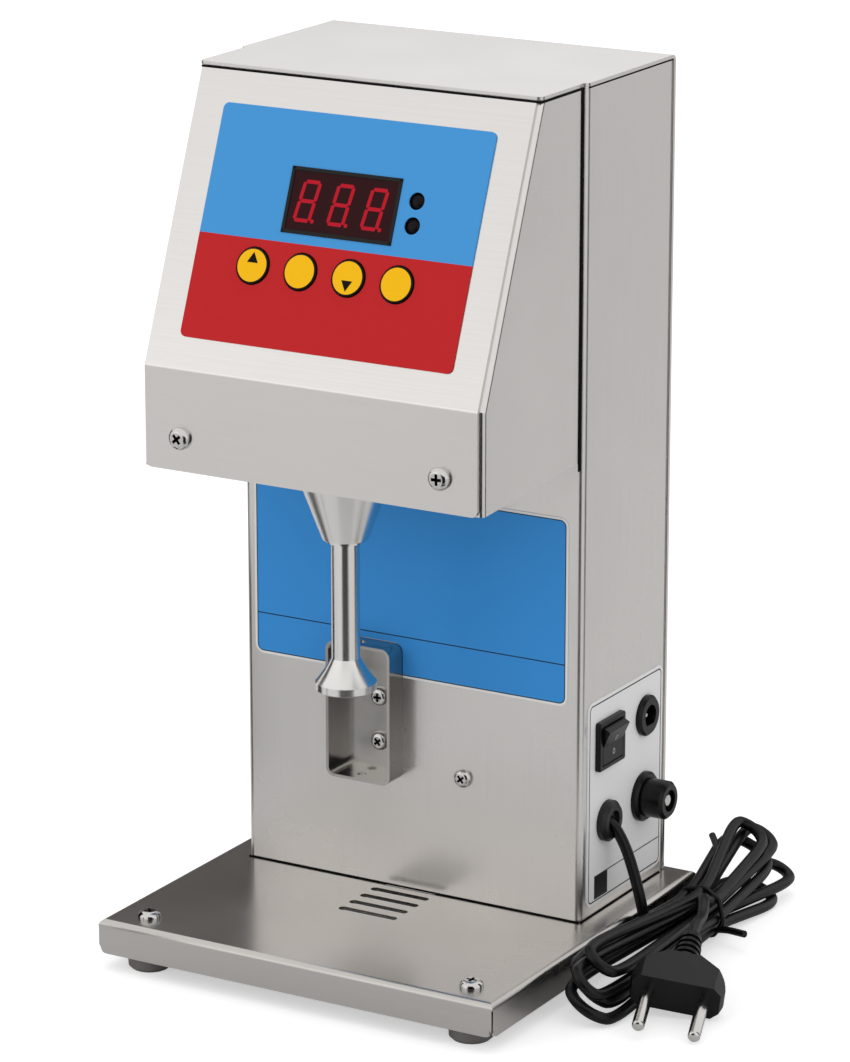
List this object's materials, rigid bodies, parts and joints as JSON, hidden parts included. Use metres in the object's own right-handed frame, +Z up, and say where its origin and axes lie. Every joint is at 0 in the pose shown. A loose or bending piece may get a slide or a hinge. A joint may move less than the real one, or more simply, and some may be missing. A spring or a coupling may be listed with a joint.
{
  "type": "ultrasonic stirrer",
  "caption": "Bench stirrer of bent steel sheet: a column on a square base carries a sloped control head with a vertical ultrasonic horn.",
  "frame": {"origin": "on the table under the middle of the base", "axes": "+X to the right, +Y to the back, +Z up; the head and the keys face -Y"},
  "size_m": [0.1948, 0.173, 0.2865],
  "materials": {
    "steel": "satin, bent stainless sheet",
    "polished_steel": "polished",
    "screw_steel": "polished",
    "rubber": "black, matt",
    "black_plastic": "black, matt",
    "cord": "black, slightly shiny",
    "overlay": "printed film, semi-gloss",
    "blue_label": "printed film, semi-gloss",
    "white_label": "printed film, semi-gloss",
    "window": "dark red, clear",
    "display": "dark",
    "lamp": "dark red lens",
    "key": "yellow",
    "board": "green circuit board",
    "nickel": "nickel plated",
    "aluminium": "extruded",
    "lamination": "varnished",
    "winding": "yellow tape over the winding",
    "ceramic": "fired, grey",
    "fuse_glass": "clear tube with metal ends"
  },
  "bodies": {
    "stand": {"back_mass": "steel", "base_tray": "steel", "board_spacers": "nickel", "bracket": "polished_steel", "bracket_screws": "screw_steel", "centre_bolt": "screw_steel", "column_base_screws": "screw_steel", "column_label": "blue_label", "column_screw": "screw_steel", "column_shell": "steel", "control_board": "board", "control_overlay": "overlay", "cord_gland": "rubber", "cord_hank": "cord", "cord_tie": "cord", "display_module": "display", "display_window": "window", "driver_board": "board", "foot_1": "rubber", "foot_2": "rubber", "foot_3": "rubber", "foot_4": "rubber", "foot_nuts": "screw_steel", "foot_screws": "screw_steel", "front_cover": "steel", "front_cover_screws": "screw_steel", "fuse_holder": "black_plastic", "fuse_holder_nut": "black_plastic", "head_floor": "steel", "head_mount_screws": "screw_steel", "head_shell": "steel", "heat_sink": "aluminium", "horn": "polished_steel", "horn_screws": "screw_steel", "indicator_lamps": "lamp", "key_switches": "black_plastic", "piezo_rings": "ceramic", "plug_body": "rubber", "plug_lead": "cord", "plug_pins": "nickel", "power_cord": "cord", "probe_socket": "black_plastic", "probe_socket_nut": "nickel", "probe_socket_pin": "nickel", "rear_cover_screws": "screw_steel", "rocker_switch_body": "black_plastic", "side_label": "white_label", "top_rear_cover": "steel", "transformer_core": "lamination", "transformer_winding": "winding"},
    "key_1": {"key_1": "key"},
    "key_2": {"key_2": "key"},
    "key_3": {"key_3": "key"},
    "key_4": {"key_4": "key"},
    "rocker": {"rocker": "black_plastic"},
    "fuse_carrier": {"fuse": "fuse_glass"},
    "fuse_cap": {"fuse_cap": "black_plastic"}
  },
  "joints": [
    {"name": "key_1_press", "type": "slide", "parent": "stand", "child": "key_1", "axis": [0, 0.9288, -0.3705], "range_m": [0, 0.0004], "stiffness_N_per_m": 400, "springref_m": -0.0005},
    {"name": "key_2_press", "type": "slide", "parent": "stand", "child": "key_2", "axis": [0, 0.9288, -0.3705], "range_m": [0, 0.0004], "stiffness_N_per_m": 400, "springref_m": -0.0005},
    {"name": "key_3_press", "type": "slide", "parent": "stand", "child": "key_3", "axis": [0, 0.9288, -0.3705], "range_m": [0, 0.0004], "stiffness_N_per_m": 400, "springref_m": -0.0005},
    {"name": "key_4_press", "type": "slide", "parent": "stand", "child": "key_4", "axis": [0, 0.9288, -0.3705], "range_m": [0, 0.0004], "stiffness_N_per_m": 400, "springref_m": -0.0005},
    {"name": "rocker_pivot", "type": "hinge", "parent": "stand", "child": "rocker", "pos_m": [0.0628, 0.0234, 0.0727], "axis": [0, 1, 0], "range_deg": [-24, 0]},
    {"name": "fuse_pull", "type": "slide", "parent": "stand", "child": "fuse_carrier", "axis": [1, 0, 0], "range_m": [0, 0.032]},
    {"name": "fuse_cap_turn", "type": "hinge", "parent": "fuse_carrier", "child": "fuse_cap", "pos_m": [0.0645, 0.0475, 0.0469], "axis": [1, 0, 0], "range_deg": [0, 60]}
  ]
}
